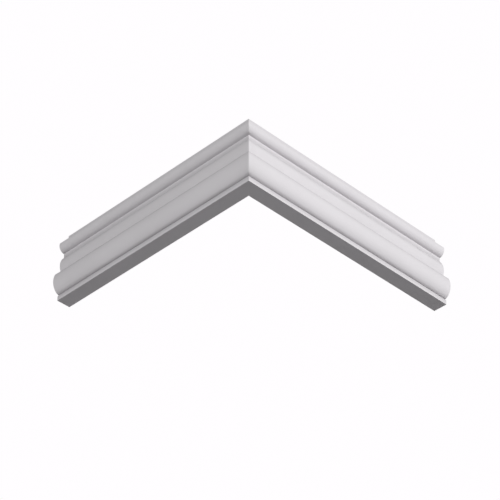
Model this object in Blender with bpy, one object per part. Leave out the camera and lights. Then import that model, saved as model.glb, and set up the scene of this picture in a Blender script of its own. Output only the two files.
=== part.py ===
"""Wall moulding carried round an outside corner: two straight lengths of one profile, mitred together.

Metres, +Z up. The right-hand length runs along +X with its face to -Y, and the left-hand one
along +Y with its face to -X. The origin is the bottom centre of the box round both.
"""

import math

import bmesh
import bpy
from mathutils import Vector

# Along the wall, from the wall's corner to each square-cut end.
RIGHT_LENGTH = 0.306
LEFT_LENGTH = 0.295

# Heights of the profile's members, stacked from the underside to the top edge.
FOOT_HEIGHT = 0.0063
FOOT_LEDGE_RISE = 0.0017
LARGE_BEAD_HEIGHT = 0.0265
LARGE_LEDGE_RISE = 0.0027
MIDDLE_BEAD_HEIGHT = 0.0270
RECESS_HEIGHT = 0.0057
TOP_BEAD_HEIGHT = 0.0120
TOP_LEDGE_RISE = 0.0026
STRIP_HEIGHT = 0.0155

# Depths out from the wall. The large bead stands on its own base, the other two on the recess.
FOOT_DEPTH = 0.0186
LARGE_BEAD_BASE = 0.0157
RECESS_DEPTH = 0.0133
STRIP_DEPTH = 0.0083

# The strip's front top edge is eased to this radius.
TOP_EDGE_RADIUS = 0.0012

# How far each bead swells from its base, and how high above its foot an oval bead is fullest.
LARGE_BEAD_SWELL = 0.0110
LARGE_BEAD_FULLEST = 0.0162
MIDDLE_BEAD_SWELL = 0.0052
TOP_BEAD_SWELL = 0.0078
TOP_BEAD_FULLEST = 0.0087

# The glue line between the two mitred faces.
MITRE_GAP = 0.0003

ARC_STEP = math.radians(5)
EDGE_STEPS = 6
SHARP_EDGE = math.radians(25)
MITRE_ANGLE = math.radians(45)

PAINT_COLOUR = (0.78, 0.77, 0.785, 1)
PAINT_ROUGHNESS = 0.55


def oval_bead(base, foot, height, swell, fullest):
    """Points of an upright oval that curls out of its base, is fullest on the way up and ends in an arris."""
    last = math.asin(height / fullest - 1)
    steps = math.ceil((last + math.pi / 2) / ARC_STEP)
    points = []
    for step in range(steps + 1):
        angle = (last + math.pi / 2) * step / steps - math.pi / 2
        points.append(Vector((base + swell * math.cos(angle), foot + fullest * (1 + math.sin(angle)))))
    return points


def round_bead(base, foot, height, swell):
    """Points of a round arc that swells this far from its upright base."""
    radius = (height**2 / 4 + swell**2) / (2 * swell)
    half_angle = math.asin(height / 2 / radius)
    steps = math.ceil(2 * half_angle / ARC_STEP)
    points = []
    for step in range(steps + 1):
        angle = half_angle * (2 * step / steps - 1)
        depth = base + swell - radius * (1 - math.cos(angle))
        points.append(Vector((depth, foot + height / 2 + radius * math.sin(angle))))
    return points


def eased_edge(depth, height, radius):
    """Points of a quarter round that takes the corner at this depth and height off."""
    points = []
    for step in range(EDGE_STEPS + 1):
        angle = math.pi / 2 * step / EDGE_STEPS
        points.append(Vector((depth - radius * (1 - math.cos(angle)), height - radius * (1 - math.sin(angle)))))
    return points


def profile():
    """The section through one length as (depth, height) points, from the wall's foot round to its top."""
    large_foot = FOOT_HEIGHT + FOOT_LEDGE_RISE
    middle_foot = large_foot + LARGE_BEAD_HEIGHT + LARGE_LEDGE_RISE
    top_foot = middle_foot + MIDDLE_BEAD_HEIGHT + RECESS_HEIGHT
    strip_foot = top_foot + TOP_BEAD_HEIGHT + TOP_LEDGE_RISE
    height = strip_foot + STRIP_HEIGHT
    return [
        Vector((0, 0)),
        Vector((FOOT_DEPTH, 0)),
        Vector((FOOT_DEPTH, FOOT_HEIGHT)),
        *oval_bead(LARGE_BEAD_BASE, large_foot, LARGE_BEAD_HEIGHT, LARGE_BEAD_SWELL, LARGE_BEAD_FULLEST),
        *round_bead(RECESS_DEPTH, middle_foot, MIDDLE_BEAD_HEIGHT, MIDDLE_BEAD_SWELL),
        *oval_bead(RECESS_DEPTH, top_foot, TOP_BEAD_HEIGHT, TOP_BEAD_SWELL, TOP_BEAD_FULLEST),
        Vector((STRIP_DEPTH, strip_foot)),
        *eased_edge(STRIP_DEPTH, height, TOP_EDGE_RADIUS),
        Vector((0, height)),
    ]


def painted(name):
    """White primer paint."""
    material = bpy.data.materials.new(name)
    material.use_nodes = True
    shader = material.node_tree.nodes["Principled BSDF"]
    shader.inputs["Base Color"].default_value = PAINT_COLOUR
    shader.inputs["Roughness"].default_value = PAINT_ROUGHNESS
    shader.inputs["Metallic"].default_value = 0
    material.diffuse_color = PAINT_COLOUR
    return material


def mitred_length(name, section, length, hand):
    """One length with its back on y = 0. It runs from the mitre at x = 0 to +X, or to -X if hand is -1."""
    deepest = max(depth for depth, _ in section)
    solid = bmesh.new()
    end = solid.faces.new([solid.verts.new((hand * length, -depth, height)) for depth, height in section])
    pushed = bmesh.ops.extrude_face_region(solid, geom=[end])["geom"]
    moved = [part for part in pushed if isinstance(part, bmesh.types.BMVert)]
    bmesh.ops.translate(solid, verts=moved, vec=(-hand * (length + 2 * deepest), 0, 0))
    cut = bmesh.ops.bisect_plane(
        solid,
        geom=[*solid.verts, *solid.edges, *solid.faces],
        plane_co=(hand * MITRE_GAP / 2 / math.sin(MITRE_ANGLE), 0, 0),
        plane_no=(hand * math.sin(MITRE_ANGLE), -math.cos(MITRE_ANGLE), 0),
        clear_inner=True,
    )["geom_cut"]
    rim = [part for part in cut if isinstance(part, bmesh.types.BMEdge)]
    bmesh.ops.edgeloop_fill(solid, edges=rim)
    bmesh.ops.recalc_face_normals(solid, faces=solid.faces)
    mesh = bpy.data.meshes.new(name)
    solid.to_mesh(mesh)
    solid.free()
    mesh.shade_smooth()
    mesh.set_sharp_from_angle(angle=SHARP_EDGE)
    mesh.materials.append(painted(f"{name}_paint"))
    piece = bpy.data.objects.new(name, mesh)
    bpy.context.collection.objects.link(piece)
    return piece


def build():
    for leftover in list(bpy.data.objects):
        bpy.data.objects.remove(leftover)
    section = profile()
    deepest = max(depth for depth, _ in section)
    wall_corner = (-(RIGHT_LENGTH - deepest) / 2, -(LEFT_LENGTH - deepest) / 2, 0)
    right = mitred_length("right_length", section, RIGHT_LENGTH, hand=1)
    right.location = wall_corner
    left = mitred_length("left_length", section, LEFT_LENGTH, hand=-1)
    left.location = wall_corner
    left.rotation_euler.z = -2 * MITRE_ANGLE


build()
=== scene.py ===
# %% [markdown]
# # A wall moulding that turns an outside corner
#
# The real object is a white primed moulding with three rounded members, called beads, one above
# the other. Two straight lengths of it meet in a mitre, which is how a joiner takes a moulding
# round the outside corner of a wall. We see it from below, so its flat underside shows as a
# dark V under the lit faces.
#
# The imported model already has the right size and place. This lesson models each length again
# with finer curves, softened edges and worked surfaces, and then paints and lights it.

# %% Load the fixed frame
import math

import bmesh
import bpy
from mathutils import Matrix, Vector


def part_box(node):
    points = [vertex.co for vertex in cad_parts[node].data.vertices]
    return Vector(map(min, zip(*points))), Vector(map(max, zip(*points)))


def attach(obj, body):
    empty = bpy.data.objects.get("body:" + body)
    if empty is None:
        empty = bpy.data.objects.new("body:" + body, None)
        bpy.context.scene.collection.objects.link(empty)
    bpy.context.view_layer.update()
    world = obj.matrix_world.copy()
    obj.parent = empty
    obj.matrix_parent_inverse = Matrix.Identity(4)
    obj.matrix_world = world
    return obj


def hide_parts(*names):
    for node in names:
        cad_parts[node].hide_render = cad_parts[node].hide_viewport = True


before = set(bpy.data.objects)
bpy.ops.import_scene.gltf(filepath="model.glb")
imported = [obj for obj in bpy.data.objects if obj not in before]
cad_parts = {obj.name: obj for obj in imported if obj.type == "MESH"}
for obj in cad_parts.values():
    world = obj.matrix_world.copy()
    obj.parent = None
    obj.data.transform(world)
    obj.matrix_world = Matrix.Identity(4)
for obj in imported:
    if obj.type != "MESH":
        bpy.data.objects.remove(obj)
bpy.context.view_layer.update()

# %% [markdown]
# ## Where the wall is
#
# A moulding is measured from the wall it is fixed to. The backs of the two lengths are two
# planes at right angles, and the upright line where they meet is the corner of the wall. We
# read it from the frame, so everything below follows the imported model.

# %% The wall's corner and the lengths
right_low, right_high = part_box("right_length")
_, left_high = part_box("left_length")
wall_corner = Vector((left_high.x, right_high.y, right_low.z))
right_run = right_high.x - wall_corner.x
left_run = left_high.y - wall_corner.y
HEIGHT = right_high.z - right_low.z
print("wall corner", wall_corner, "runs", round(right_run, 4), round(left_run, 4), "height", round(HEIGHT, 4))

# %% [markdown]
# ## The profile in words and numbers
#
# From the underside up, the profile has a flat foot, a large bead, a middle bead, a narrow
# recess, a small top bead and a flat strip. The middle bead is a round arc that springs from the
# plane of the recess at both ends. The large and the top bead are upright ovals: they curl out
# level from their base, which gives the photograph its darkest lines, and end at the top in a
# sharp edge, called an arris. Behind each arris a ledge slopes back to the next member. The
# strip's top edge is eased to a small quarter round.

# %% Sizes of the members, in metres
FOOT_HEIGHT = 0.0063
FOOT_LEDGE_RISE = 0.0017
LARGE_BEAD_HEIGHT = 0.0265
LARGE_LEDGE_RISE = 0.0027
MIDDLE_BEAD_HEIGHT = 0.0270
RECESS_HEIGHT = 0.0057
TOP_BEAD_HEIGHT = 0.0120
TOP_LEDGE_RISE = 0.0026

FOOT_DEPTH = 0.0186
LARGE_BEAD_BASE = 0.0157
RECESS_DEPTH = 0.0133
STRIP_DEPTH = 0.0083
TOP_EDGE_RADIUS = 0.0012


# %% The two kinds of bead
class RoundBead:
    """A round arc in the plane of the profile: x is depth from the wall, y is height."""

    def __init__(self, base, foot, height, swell):
        self.base = base
        self.radius = (height**2 / 4 + swell**2) / (2 * swell)
        self.centre = Vector((base + swell - self.radius, foot + height / 2))
        self.turn = 2 * math.asin(height / 2 / self.radius)
        self.press = 1
        self.foot = foot
        self.top = Vector((base, foot + height))


class OvalBead:
    """An upright oval that is spun round first, and then pressed in depth to its swell."""

    def __init__(self, base, foot, height, swell, fullest):
        self.base = base
        self.radius = fullest
        self.centre = Vector((base, foot + fullest))
        last = math.asin(height / fullest - 1)
        self.turn = last + math.pi / 2
        self.press = swell / fullest
        self.foot = foot
        self.top = Vector((base + swell * math.cos(last), foot + height))


# %% Stack the members
large_foot = FOOT_HEIGHT + FOOT_LEDGE_RISE
large_bead = OvalBead(LARGE_BEAD_BASE, large_foot, LARGE_BEAD_HEIGHT, swell=0.0110, fullest=0.0162)
middle_foot = large_bead.top.y + LARGE_LEDGE_RISE
middle_bead = RoundBead(RECESS_DEPTH, middle_foot, MIDDLE_BEAD_HEIGHT, swell=0.0052)
top_foot = middle_bead.top.y + RECESS_HEIGHT
top_bead = OvalBead(RECESS_DEPTH, top_foot, TOP_BEAD_HEIGHT, swell=0.0078, fullest=0.0087)
strip_foot = top_bead.top.y + TOP_LEDGE_RISE
for name, bead in (("large", large_bead), ("middle", middle_bead), ("top", top_bead)):
    radius = round(bead.radius * 1000, 1)
    print(name, "bead: radius", radius, "mm, turn", round(math.degrees(bead.turn)), "degrees")

# %% [markdown]
# ## The camera first
#
# The photograph looks up at the corner along the line that halves it, with little perspective,
# so it was taken from far away with a long lens. The camera is set before anything is modelled,
# because every later choice is judged through it.

# %% The camera
CAMERA_DISTANCE = 2.160
CAMERA_LENS = 144.05
CAMERA_LIFT = math.radians(-36.85)
CAMERA_TURN = math.radians(-45)
AIM_FROM_CORNER = Vector((0.02584, 0.02382, -0.04685))


def away(turn, lift):
    """The direction from the object towards something seen at this turn round it and this lift above it."""
    return Vector((math.sin(turn) * math.cos(lift), -math.cos(turn) * math.cos(lift), math.sin(lift)))


def look_at(thing, target):
    """Turns a camera or a light so that it faces the target, level with the horizon."""
    thing.rotation_euler = (target - thing.location).to_track_quat("-Z", "Y").to_euler()


bpy.ops.object.camera_add()
camera = bpy.context.object
camera.name = "photo_camera"
camera.data.lens = CAMERA_LENS
aim = wall_corner + AIM_FROM_CORNER
camera.location = aim + away(CAMERA_TURN, CAMERA_LIFT) * CAMERA_DISTANCE
look_at(camera, aim)
bpy.context.scene.camera = camera
print("camera at", [round(v, 3) for v in camera.location])

# %% [markdown]
# ## One member at a time, with spin
#
# A length of moulding could be a curve with a profile, or a flat outline pushed along. Here it is
# made as it is drawn: a narrow plane is the face of the foot, and its top edge is spun round the
# centre of each bead in turn, or extruded where a member is flat. Each member then stays a clean
# band of long faces, as fine as its curve needs.

# %% Helpers for work in edit mode
CLOSE = 1e-5


def deselect_everything():
    """Leaves edit mode if need be, and selects nothing."""
    if bpy.context.mode != "OBJECT":
        bpy.ops.object.mode_set(mode="OBJECT")
    bpy.ops.object.select_all(action="DESELECT")


def select_edges(piece, wanted):
    """In edit mode, selects only the edges for which wanted(edge) is true."""
    bpy.ops.mesh.select_mode(type="EDGE")
    bpy.ops.mesh.select_all(action="DESELECT")
    work = bmesh.from_edit_mesh(piece.data)
    chosen = [edge for edge in work.edges if wanted(edge)]
    for edge in chosen:
        edge.select_set(True)
    bmesh.update_edit_mesh(piece.data)
    return len(chosen)


def extrude_edge(move):
    """Pulls a new band of faces out of the selected edge."""
    bpy.ops.mesh.extrude_region_move(TRANSFORM_OT_translate={"value": move})


def spin_bead(piece, bead, steps):
    """Spins the selected edge round the bead's centre, and presses an oval bead to its depth."""
    centre = (0, -bead.centre.x, bead.centre.y)
    bpy.ops.mesh.spin(steps=steps, angle=bead.turn, center=centre, axis=(1, 0, 0))
    select_edges(piece, lambda edge: min(corner.co.z for corner in edge.verts) > bead.foot - CLOSE)
    bpy.ops.transform.resize(value=(1, bead.press, 1), center_override=(0, -bead.base, 0))
    select_edges(piece, lambda edge: all(abs(corner.co.z - bead.top.y) < CLOSE for corner in edge.verts))


# %% Pull and spin the profile along a length
LARGE_BEAD_STEPS = 32
MIDDLE_BEAD_STEPS = 24
TOP_BEAD_STEPS = 24
TOP_EDGE_STEPS = 8


def start_foot(name, from_x, to_x):
    """The plane that is the face of the foot, standing in front of the wall plane y = 0."""
    deselect_everything()
    middle = ((from_x + to_x) / 2, -FOOT_DEPTH, FOOT_HEIGHT / 2)
    bpy.ops.mesh.primitive_plane_add(size=1, location=middle, rotation=(math.pi / 2, 0, 0))
    piece = bpy.context.object
    piece.name = name
    piece.scale = (to_x - from_x, FOOT_HEIGHT, 1)
    bpy.ops.object.transform_apply(location=True, rotation=True, scale=True)
    return piece


def raise_profile(piece):
    """Works the foot's top edge round the whole profile and closes the skin behind it."""
    bpy.ops.object.mode_set(mode="EDIT")
    select_edges(piece, lambda edge: all(abs(corner.co.z - FOOT_HEIGHT) < CLOSE for corner in edge.verts))
    extrude_edge((0, FOOT_DEPTH - LARGE_BEAD_BASE, FOOT_LEDGE_RISE))
    spin_bead(piece, large_bead, LARGE_BEAD_STEPS)
    extrude_edge((0, large_bead.top.x - RECESS_DEPTH, LARGE_LEDGE_RISE))
    spin_bead(piece, middle_bead, MIDDLE_BEAD_STEPS)
    extrude_edge((0, 0, RECESS_HEIGHT))
    spin_bead(piece, top_bead, TOP_BEAD_STEPS)
    extrude_edge((0, top_bead.top.x - STRIP_DEPTH, TOP_LEDGE_RISE))
    extrude_edge((0, 0, HEIGHT - TOP_EDGE_RADIUS - strip_foot))
    centre = (0, TOP_EDGE_RADIUS - STRIP_DEPTH, HEIGHT - TOP_EDGE_RADIUS)
    bpy.ops.mesh.spin(steps=TOP_EDGE_STEPS, angle=math.pi / 2, center=centre, axis=(1, 0, 0))
    extrude_edge((0, STRIP_DEPTH - TOP_EDGE_RADIUS, 0))
    extrude_edge((0, 0, -HEIGHT))
    extrude_edge((0, -FOOT_DEPTH, 0))
    bpy.ops.mesh.select_all(action="SELECT")
    bpy.ops.mesh.remove_doubles(threshold=CLOSE)
    bpy.ops.mesh.normals_make_consistent(inside=False)
    bpy.ops.object.mode_set(mode="OBJECT")


# %% [markdown]
# ## Saw cuts
#
# On site the far end is sawn square and the near end at 45 degrees. Bisect is the same thing: a
# plane cuts the skin, one side is cleared, and the cut is filled. The long faces are divided
# first, so that later work has points to move along the length.

# %% Divide along the length and saw both ends
CUTS_ALONG = 90
JOINT_GAP = 0.00002
HALF_CORNER = math.radians(45)


def divide_length(piece):
    """Divides the long faces crosswise."""
    bpy.ops.object.mode_set(mode="EDIT")
    select_edges(piece, lambda edge: abs(edge.verts[0].co.x - edge.verts[1].co.x) > CLOSE)
    bpy.ops.mesh.subdivide(number_cuts=CUTS_ALONG)
    bpy.ops.object.mode_set(mode="OBJECT")


def saw(piece, point, towards):
    """Cuts the piece at a plane and throws away what lies towards this direction."""
    bpy.ops.object.mode_set(mode="EDIT")
    bpy.ops.mesh.select_all(action="SELECT")
    bpy.ops.mesh.bisect(plane_co=point, plane_no=towards, use_fill=True, clear_outer=True)
    bpy.ops.object.mode_set(mode="OBJECT")


def saw_ends(piece, run, hand):
    """A square cut at the far end, and a mitre through the wall's corner at the near end."""
    saw(piece, (hand * run, 0, 0), (hand, 0, 0))
    back_off = JOINT_GAP / 2 / math.sin(HALF_CORNER)
    saw(piece, (hand * back_off, 0, 0), (-hand * math.sin(HALF_CORNER), math.cos(HALF_CORNER), 0))


# %% [markdown]
# ## Soft edges
#
# Primer rounds every edge a little and gathers in the creases. Two bevels do both: a fine one on
# the long edges, which catches the light in a close view, and a wider one in the two creases where
# a bead curls out of its base. The sawn ends and the edges on the wall stay crisp. Smooth shading
# alone would bend the light on the flat faces beside such a bevel, so a Weighted Normal modifier
# lets the wide faces decide and keeps them flat.

# %% Round the long edges and fill the creases
EDGE_SOFTNESS = 0.00015
EDGE_SEGMENTS = 3
CREASE_SOFTNESS = 0.0006
CREASE_SEGMENTS = 4
SHARP = math.radians(20)
SMOOTH_BELOW = math.radians(35)


def soften_long_edges(piece):
    """Rounds the edges that run along the length and are sharper than a bead's own facets, creases most."""

    def is_long_and_sharp(edge):
        lies_along = abs(edge.verts[0].co.x - edge.verts[1].co.x) > CLOSE
        level = abs(edge.verts[0].co.z - edge.verts[1].co.z) < CLOSE
        on_the_wall = edge.verts[0].co.y > -CLOSE
        return lies_along and level and not on_the_wall and edge.calc_face_angle(0) > SHARP

    def is_crease(edge):
        under_a_bead = any(abs(edge.verts[0].co.z - bead.foot) < CLOSE for bead in (large_bead, top_bead))
        return under_a_bead and is_long_and_sharp(edge)

    bpy.ops.object.mode_set(mode="EDIT")
    count = select_edges(piece, lambda edge: is_long_and_sharp(edge) and not is_crease(edge))
    bpy.ops.mesh.bevel(offset=EDGE_SOFTNESS, segments=EDGE_SEGMENTS, affect="EDGES")
    count += select_edges(piece, is_crease)
    bpy.ops.mesh.bevel(offset=CREASE_SOFTNESS, segments=CREASE_SEGMENTS, affect="EDGES")
    bpy.ops.object.mode_set(mode="OBJECT")
    return count


def shade(piece):
    """Smooth shading between the long faces, with flat faces kept flat and the saw cuts crisp."""
    bpy.ops.object.shade_smooth_by_angle(angle=SMOOTH_BELOW)
    modifier = piece.modifiers.new("flat_faces_stay_flat", "WEIGHTED_NORMAL")
    modifier.keep_sharp = True
    bpy.ops.object.modifier_apply(modifier=modifier.name)


# %% [markdown]
# ## A surface that was worked
#
# A cast or machined face is never perfectly flat. A slow unevenness of about a tenth of a
# millimetre, always into the material, makes the light run along the beads a little unevenly.
# The Displace modifier reads a clouds texture, and a vertex group keeps it off the backs that lie
# on the wall and off the sawn ends that have to meet.

# %% Give the faces a slow unevenness
UNEVENNESS = 0.00012
UNEVEN_SIZE = 0.045
KEPT_CLEAR = 0.006


def wander(piece, run, hand):
    """Sinks the visible faces by a slowly changing amount."""
    group = piece.vertex_groups.new(name="worked_faces")
    for corner in piece.data.vertices:
        along = hand * corner.co.x
        near_end = min(run - along, along + corner.co.y)
        inward = min(max(near_end / KEPT_CLEAR, 0), 1)
        off_wall = min(max(-corner.co.y / KEPT_CLEAR, 0), 1)
        group.add([corner.index], inward * off_wall, "REPLACE")
    clouds = bpy.data.textures.new(f"{piece.name}_unevenness", "CLOUDS")
    clouds.noise_scale = UNEVEN_SIZE
    modifier = piece.modifiers.new("unevenness", "DISPLACE")
    modifier.texture = clouds
    modifier.vertex_group = group.name
    modifier.mid_level = 1
    modifier.strength = UNEVENNESS
    bpy.ops.object.modifier_apply(modifier=modifier.name)


# %% [markdown]
# ## Shader maths that reads like maths
#
# A material here is a page of sums on heights and distances. To write them as sums, a small
# class wraps a node's output and gives it plus, minus, times and the rest. Every other kind
# of node comes from its one method called node.

# %% The wrapper for shader sockets
class Wire:
    """One output in a material's node tree, used as a value in a Python expression."""

    def __init__(self, tree, socket=None):
        self.tree = tree
        self.socket = socket

    def node(self, kind, settings=(), inputs=(), output=0):
        """Adds a node, gives it its settings and then its values or links, and wraps one output."""
        made = self.tree.nodes.new(kind)
        for name, value in dict(settings).items():
            setattr(made, name, value)
        for name, value in dict(inputs).items():
            if isinstance(value, Wire):
                self.tree.links.new(value.socket, made.inputs[name])
            else:
                made.inputs[name].default_value = value
        return Wire(self.tree, made.outputs[output])

    def maths(self, operation, *values):
        return self.node("ShaderNodeMath", {"operation": operation}, dict(enumerate(values)))

    def __add__(self, other):
        return self.maths("ADD", self, other)

    def __radd__(self, other):
        return self.maths("ADD", other, self)

    def __sub__(self, other):
        return self.maths("SUBTRACT", self, other)

    def __rsub__(self, other):
        return self.maths("SUBTRACT", other, self)

    def __mul__(self, other):
        return self.maths("MULTIPLY", self, other)

    def __rmul__(self, other):
        return self.maths("MULTIPLY", other, self)

    def __truediv__(self, other):
        return self.maths("DIVIDE", self, other)

    def __rtruediv__(self, other):
        return self.maths("DIVIDE", other, self)

    def __pow__(self, other):
        return self.maths("POWER", self, other)

    def __neg__(self):
        return self.maths("MULTIPLY", self, -1)


def least(first, second):
    return first.maths("MINIMUM", first, second)


def most(first, second):
    return first.maths("MAXIMUM", first, second)


def fade(value, low, high):
    """0 below low, 1 above high and a smooth step between them."""
    settings = {"interpolation_type": "SMOOTHSTEP"}
    return value.node("ShaderNodeMapRange", settings, {"Value": value, "From Min": low, "From Max": high})


def blend(factor, first, second):
    """A colour between two colours."""
    return factor.node("ShaderNodeMix", {"data_type": "RGBA"}, {0: factor, 6: first, 7: second}, output=2)


def point(x, y, z):
    """A place in a pattern from three values."""
    return x.node("ShaderNodeCombineXYZ", (), {"X": x, "Y": y, "Z": z})


def noise(place, scale, detail=3):
    """A cloudy pattern of values round one half, with this many finer layers in it."""
    return place.node("ShaderNodeTexNoise", (), {"Vector": place, "Scale": scale, "Detail": detail})


# %% [markdown]
# ## Coordinates of a length
#
# Every pattern is written in the maker's own directions: along the length, out from the wall and
# up the wall. The two lengths run different ways, so each gets its own copy of a material with
# these three worked out from the object coordinates, and a streak that follows the right-hand
# length follows the left-hand one too.

# %% Along, out and up
class Directions:
    """A new material and its places along the length, out from the wall and up the wall, in metres."""

    def __init__(self, name, side):
        self.material = bpy.data.materials.new(name)
        self.material.use_nodes = True
        tree = self.material.node_tree
        self.shader = tree.nodes["Principled BSDF"]
        start = Wire(tree)
        self.place = start.node("ShaderNodeTexCoord", output="Object")
        x, y, z = (start.node("ShaderNodeSeparateXYZ", (), {0: self.place}, output=name) for name in "XYZ")
        if side == "right":
            self.along, self.out = x - wall_corner.x, wall_corner.y - y
        else:
            self.along, self.out = y - wall_corner.y, wall_corner.x - x
        self.up = z - wall_corner.z
        facing = start.node("ShaderNodeTexCoord", output="Normal")
        self.facing_up = start.node("ShaderNodeSeparateXYZ", (), {0: facing}, output="Z")

    def finish(self, colour, roughness, bump_height, bump_distance, specular):
        """Feeds the worked-out colour, roughness and bump to the shader."""
        bump_inputs = {"Height": bump_height, "Distance": bump_distance, "Strength": 1.0}
        normal = bump_height.node("ShaderNodeBump", (), bump_inputs)
        links = self.material.node_tree.links
        links.new(colour.socket, self.shader.inputs["Base Color"])
        links.new(roughness.socket, self.shader.inputs["Roughness"])
        links.new(normal.socket, self.shader.inputs["Normal"])
        self.shader.inputs["Specular IOR Level"].default_value = specular
        return self.material


# This nearness sets where the painted shade falls in a crease.
def crease_shade_nearness(where, crease, reach):
    """1 in the crease at this depth and height, falling to 0 at the given reach from it."""
    distance = ((where.out - crease.x) ** 2 + (where.up - crease.y) ** 2) ** 0.5
    return 1 - fade(distance, 0, reach)


# %% [markdown]
# ## White primer
#
# The finish is a matt white primer, a little cool. Close to, it has the fine orange peel of
# sprayed paint, faint lines along the length where the mould or the cutter ran, and broad patches
# that took the coat a little thinner. Shade is painted into the colour too. The two creases are painted
# a shade darker, each darkening centred just below its crease. The faces that tilt up are painted
# greyer, and so is the strip behind the top bead.

# %% The primer material
PRIMER = (0.800, 0.776, 0.800, 1)
PRIMER_THIN = (0.760, 0.738, 0.758, 1)
# Painted shade: the darker tone painted just below the two creases.
CREASE_PAINTED_SHADE = (0.560, 0.542, 0.560, 1)
PEEL_SCALE = 700
LINE_STRETCH = 9
LINE_SCALE = 420
LINE_THINNING = 0.15
PATCH_SCALE = 16
PATCH_RANGE = (0.35, 0.75)
PATCH_THINNING = 0.5
PRIMER_ROUGHNESS = 0.72
ROUGHER_IN_PATCHES = 0.08
ROUGHER_IN_CREASES = 0.10
PRIMER_RELIEF = 0.00018
# Where the painted crease shade is centred, how far it reaches and how strong it is.
SHADE_UNDER_LARGE_BEAD = Vector((LARGE_BEAD_BASE + 0.0015, large_foot - 0.0018))
SHADE_UNDER_TOP_BEAD = Vector((RECESS_DEPTH + 0.0010, top_foot - 0.0042))
CREASE_SHADE_REACH = 0.0070
CREASE_SHADE_SHARE = 0.7
# Painted shade: a grey for the faces that tilt up and for the strip behind the top bead.
PAINTED_SHADE_GREY = (0.500, 0.484, 0.500, 1)
SHADE_FACING_UP_RANGE = (0.15, 0.65)
FACING_UP_SHADE_SHARE = 0.5
STRIP_SHADE_SHARE = 0.12


def primer(side):
    where = Directions(f"white_primer_{side}", side)
    patches = fade(noise(where.place, PATCH_SCALE, detail=5), *PATCH_RANGE)
    along = where.along * LINE_STRETCH
    lines = noise(point(along, where.out * LINE_SCALE, where.up * LINE_SCALE), 1, detail=2)
    peel = noise(where.place, PEEL_SCALE, detail=2)
    # The mask for the painted shade just below the two creases.
    creases = most(
        crease_shade_nearness(where, SHADE_UNDER_LARGE_BEAD, CREASE_SHADE_REACH),
        crease_shade_nearness(where, SHADE_UNDER_TOP_BEAD, CREASE_SHADE_REACH),
    )
    colour = blend(patches * PATCH_THINNING + lines * LINE_THINNING, PRIMER, PRIMER_THIN)
    # The creases get their painted shade here.
    colour = blend(creases * CREASE_SHADE_SHARE, colour, CREASE_PAINTED_SHADE)
    # Painted shade on the faces that tilt up, and on the strip behind the top bead.
    shade_facing_up = fade(where.facing_up, *SHADE_FACING_UP_RANGE) * FACING_UP_SHADE_SHARE
    shade_on_strip = fade(where.up, top_bead.top.y, strip_foot) * STRIP_SHADE_SHARE
    colour = blend(most(shade_facing_up, shade_on_strip), colour, PAINTED_SHADE_GREY)
    roughness = PRIMER_ROUGHNESS + patches * ROUGHER_IN_PATCHES + creases * ROUGHER_IN_CREASES
    return where.finish(colour, roughness, peel * 0.5 + lines * 0.5, PRIMER_RELIEF, specular=0.2)


# %% [markdown]
# ## Sawn foam
#
# Inside, the moulding is rigid foam with closed cells. A sawn end shows it: a creamy white face
# with fine pits, faint arcs from the saw's teeth, and a thin whiter rim where the skin and the
# primer were cut through.

# %% The sawn-end material
FOAM = (0.790, 0.762, 0.715, 1)
# Painted shade: the colour for the shade inside the foam's pits.
FOAM_PIT_PAINTED_SHADE = (0.640, 0.610, 0.560, 1)
CELL_SCALE = 1500
PIT_RANGE = (0.18, 0.42)
PIT_SHADE = 0.6
PATCH_OF_PITS_SCALE = 260
PATCH_OF_PITS_RANGE = (0.42, 0.62)
SAW_REACH = 0.12
SAW_PITCH = 0.0011
SAW_SKIP_SCALE = 90
SAW_SKIP_RANGE = (0.3, 0.7)
SAW_MARK_DEPTH = 0.4
SKIN_RANGE = (0.0003, 0.0005)
FOAM_ROUGHNESS = 0.85
SMOOTHER_IN_RIM = 0.2
FOAM_RELIEF = 0.00006


def depth_to_skin(where):
    """How far a place on a sawn end lies inside the moulding's outline, member by member."""

    def inside(bead):
        offset = ((where.out - bead.base) / bead.press + (bead.base - bead.centre.x)) ** 2
        curve = (bead.radius - (offset + (where.up - bead.centre.y) ** 2) ** 0.5) * bead.press
        return most(curve, bead.base - where.out)

    def below_ledge(front, back):
        slope = (back.x - front.x) / (back.y - front.y)
        edge = (where.up - front.y) * slope + front.x
        return (edge - where.out) * ((back.y - front.y) / (back - front).length)

    def inside_top_edge():
        front = most(where.out - (STRIP_DEPTH - TOP_EDGE_RADIUS), 0)
        above = most(where.up - (HEIGHT - TOP_EDGE_RADIUS), 0)
        return TOP_EDGE_RADIUS - (front**2 + above**2) ** 0.5

    def between(low, high):
        return fade(where.up, low - CLOSE, low) * (1 - fade(where.up, high - CLOSE, high))

    foot_ledge = below_ledge(Vector((FOOT_DEPTH, FOOT_HEIGHT)), Vector((LARGE_BEAD_BASE, large_foot)))
    large_ledge = below_ledge(large_bead.top, Vector((RECESS_DEPTH, middle_foot)))
    top_ledge = below_ledge(top_bead.top, Vector((STRIP_DEPTH, strip_foot)))
    members = (
        (0, FOOT_HEIGHT, FOOT_DEPTH - where.out),
        (FOOT_HEIGHT, large_foot, foot_ledge),
        (large_foot, large_bead.top.y, inside(large_bead)),
        (large_bead.top.y, middle_foot, large_ledge),
        (middle_foot, middle_bead.top.y, inside(middle_bead)),
        (middle_bead.top.y, top_foot, RECESS_DEPTH - where.out),
        (top_foot, top_bead.top.y, inside(top_bead)),
        (top_bead.top.y, strip_foot, top_ledge),
        (strip_foot, HEIGHT, inside_top_edge()),
    )
    front = sum(between(low, high) * depth for low, high, depth in members)
    return least(least(front, where.out), where.up)


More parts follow.
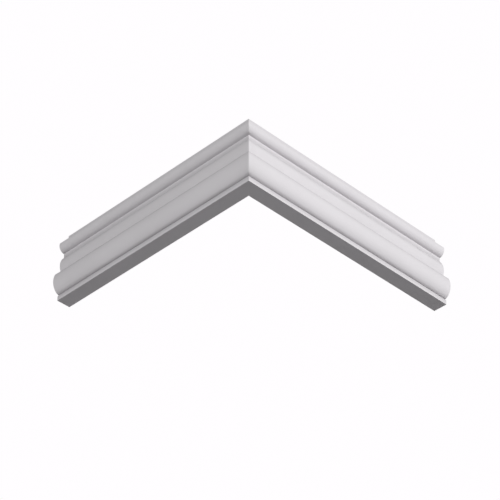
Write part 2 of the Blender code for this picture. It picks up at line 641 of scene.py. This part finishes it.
def sawn_foam(side):
    where = Directions(f"sawn_foam_{side}", side)
    rim = 1 - fade(depth_to_skin(where), *SKIN_RANGE)
    cell_inputs = {"Vector": where.place, "Scale": CELL_SCALE}
    cells = where.place.node("ShaderNodeTexVoronoi", {"feature": "F1"}, cell_inputs)
    patches_of_pits = fade(noise(where.place, PATCH_OF_PITS_SCALE), *PATCH_OF_PITS_RANGE)
    pits = (1 - fade(cells, *PIT_RANGE)) * patches_of_pits
    reach = ((where.out + SAW_REACH) ** 2 + (where.up - HEIGHT / 2) ** 2) ** 0.5
    stroke = reach * (2 * math.pi / SAW_PITCH)
    teeth = stroke.maths("SINE", stroke)
    marks = teeth * 0.5 * fade(noise(where.place, SAW_SKIP_SCALE), *SAW_SKIP_RANGE)
    # The pits get their painted shade here.
    colour = blend(pits * PIT_SHADE, FOAM, FOAM_PIT_PAINTED_SHADE)
    colour = blend(rim, colour, PRIMER)
    roughness = FOAM_ROUGHNESS - rim * SMOOTHER_IN_RIM
    height = marks * SAW_MARK_DEPTH - pits * (1 - rim)
    return where.finish(colour, roughness, height, FOAM_RELIEF, specular=0.25)


# %% [markdown]
# ## The back
#
# The side that goes on the wall isn't primed. It is the skin the foam formed against the mould,
# slightly yellower, sanded along its length so that glue holds.

# %% The back material
BACK_SKIN = (0.790, 0.765, 0.720, 1)
BACK_SCUFF = (0.690, 0.662, 0.612, 1)
SCRATCH_STRETCH = 30
SCRATCH_SCALE = 900
SCRATCH_RANGE = (0.52, 0.7)
CLOUD_SCALE = 22
CLOUD_RANGE = (0.35, 0.7)
SCUFF_EVERYWHERE = 0.35
SCUFF_IN_CLOUDS = 0.5
BACK_ROUGHNESS = 0.75
ROUGHER_WHERE_SCUFFED = 0.15
BACK_RELIEF = 0.00010


def back_skin(side):
    where = Directions(f"back_skin_{side}", side)
    along = where.along * SCRATCH_STRETCH
    scratches = noise(point(along, where.out * SCRATCH_SCALE, where.up * SCRATCH_SCALE), 1, detail=4)
    clouds = fade(noise(where.place, CLOUD_SCALE, detail=4), *CLOUD_RANGE)
    scuffed = fade(scratches, *SCRATCH_RANGE) * (SCUFF_EVERYWHERE + clouds * SCUFF_IN_CLOUDS)
    colour = blend(scuffed, BACK_SKIN, BACK_SCUFF)
    roughness = BACK_ROUGHNESS + scuffed * ROUGHER_WHERE_SCUFFED
    return where.finish(colour, roughness, -scuffed, BACK_RELIEF, specular=0.25)


# %% [markdown]
# ## Which face gets which finish
#
# The three finishes follow the faces' own directions: the back looks at the wall, the sawn faces
# look along the length or across the mitre, and all the rest is primed.

# %% Assign the finishes
PRIMED, SAWN, BACK = range(3)
LOOKS_AT_WALL = 0.99
LOOKS_ALONG = 0.5


def give_finishes(piece, side):
    """Sets the material of every face while the length still lies along X."""
    for material in (primer(side), sawn_foam(side), back_skin(side)):
        piece.data.materials.append(material)
    for face in piece.data.polygons:
        if face.normal.y > LOOKS_AT_WALL:
            face.material_index = BACK
        elif abs(face.normal.x) > LOOKS_ALONG:
            face.material_index = SAWN
        else:
            face.material_index = PRIMED


# %% [markdown]
# ## The two lengths
#
# Both lengths come from the same steps. The right-hand one is made running to the right of the
# wall's corner. The left-hand one is made running to the left and then turned a quarter turn, as
# on site, where the same stock is mitred the other way. The finished place goes into the mesh.

# %% Make a length from start to finish
OVERRUN = 0.04
QUARTER_TURN = math.radians(-90)


def make_length(side, run, hand):
    """One finished moulding, from the plane of its foot to its place at the wall's corner."""
    past_the_end = hand * (run + OVERRUN)
    piece = start_foot(f"{side}_moulding", min(-OVERRUN, past_the_end), max(OVERRUN, past_the_end))
    raise_profile(piece)
    divide_length(piece)
    saw_ends(piece, run, hand)
    softened = soften_long_edges(piece)
    wander(piece, run, hand)
    give_finishes(piece, side)
    if side == "left":
        piece.data.transform(Matrix.Rotation(QUARTER_TURN, 4, "Z"))
    piece.data.transform(Matrix.Translation(wall_corner))
    shade(piece)
    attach(piece, "root")
    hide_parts(f"{side}_length")
    print(piece.name, len(piece.data.polygons), "faces,", softened, "edges softened")


make_length("right", right_run, hand=1)
make_length("left", left_run, hand=-1)

# %% [markdown]
# ## Floor and background
#
# The moulding hangs high on a wall in use, so the pale floor lies well below it and below the
# camera. It throws a little light up at the underside, and its size sets how much. The background
# is plain white, while the room that lights the object is much dimmer, so the world shows one
# strength to the camera and another to the object.

# %% Floor and world
FLOOR_DROP = 2.4
FLOOR_RADIUS = 1.58
FLOOR_CORNERS = 96
FLOOR_COLOUR = (0.80, 0.79, 0.80, 1)
FLOOR_ROUGHNESS = 0.8
BACKGROUND = (1.0, 0.985, 1.0, 1)
ROOM_LIGHT = 0.008

deselect_everything()
bpy.ops.mesh.primitive_circle_add(
    vertices=FLOOR_CORNERS, radius=FLOOR_RADIUS, fill_type="NGON", location=(0, 0, -FLOOR_DROP)
)
floor = bpy.context.object
floor.name = "floor"
floor_paint = bpy.data.materials.new("floor_paint")
floor_paint.use_nodes = True
floor_shader = floor_paint.node_tree.nodes["Principled BSDF"]
floor_shader.inputs["Base Color"].default_value = FLOOR_COLOUR
floor_shader.inputs["Roughness"].default_value = FLOOR_ROUGHNESS
floor.data.materials.append(floor_paint)
print("floor", FLOOR_DROP, "m down,", 2 * FLOOR_RADIUS, "m wide")

world = bpy.data.worlds.new("studio")
bpy.context.scene.world = world
world.use_nodes = True
sky = Wire(world.node_tree)
seen = sky.node("ShaderNodeLightPath", output="Is Camera Ray")
sky_shader = world.node_tree.nodes["Background"]
sky_shader.inputs["Color"].default_value = BACKGROUND
world.node_tree.links.new((seen * (1 - ROOM_LIGHT) + ROOM_LIGHT).socket, sky_shader.inputs["Strength"])

# %% [markdown]
# ## Light
#
# Three facts in the photograph fix the lights. The right-hand faces are over one and a half times
# as bright as the left-hand ones, each bead is brightest where it faces straight out, and the
# underside is dark and even. So one soft light stands nearly level in front of the right-hand
# faces and a weaker one nearly level in front of the left-hand faces, which leaves the undersides
# of the beads dark. The underside of the foot has only the floor's light. A third lamp stands
# high behind, for the backs and the tops, which the photograph doesn't show.

# %% Lights
LAMP_DISTANCE = 3.0
LAMP_SIZE = 1.0


def softbox(name, turn, lift, power):
    """A square area light that faces the object from this turn round it and this lift, in degrees."""
    place = away(math.radians(turn), math.radians(lift)) * LAMP_DISTANCE
    bpy.ops.object.light_add(type="AREA", location=place)
    lamp = bpy.context.object
    lamp.name = name
    lamp.data.shape = "SQUARE"
    lamp.data.size = LAMP_SIZE
    lamp.data.energy = power
    look_at(lamp, Vector((0, 0, HEIGHT / 2)))
    print(name, "at", [round(v, 2) for v in place], "with", power, "W")


softbox("right_face_light", turn=5, lift=6, power=74.3)
softbox("left_face_light", turn=-80, lift=-2, power=46.5)
softbox("back_light", turn=135, lift=42, power=130)
bpy.context.scene.view_settings.view_transform = "Standard"
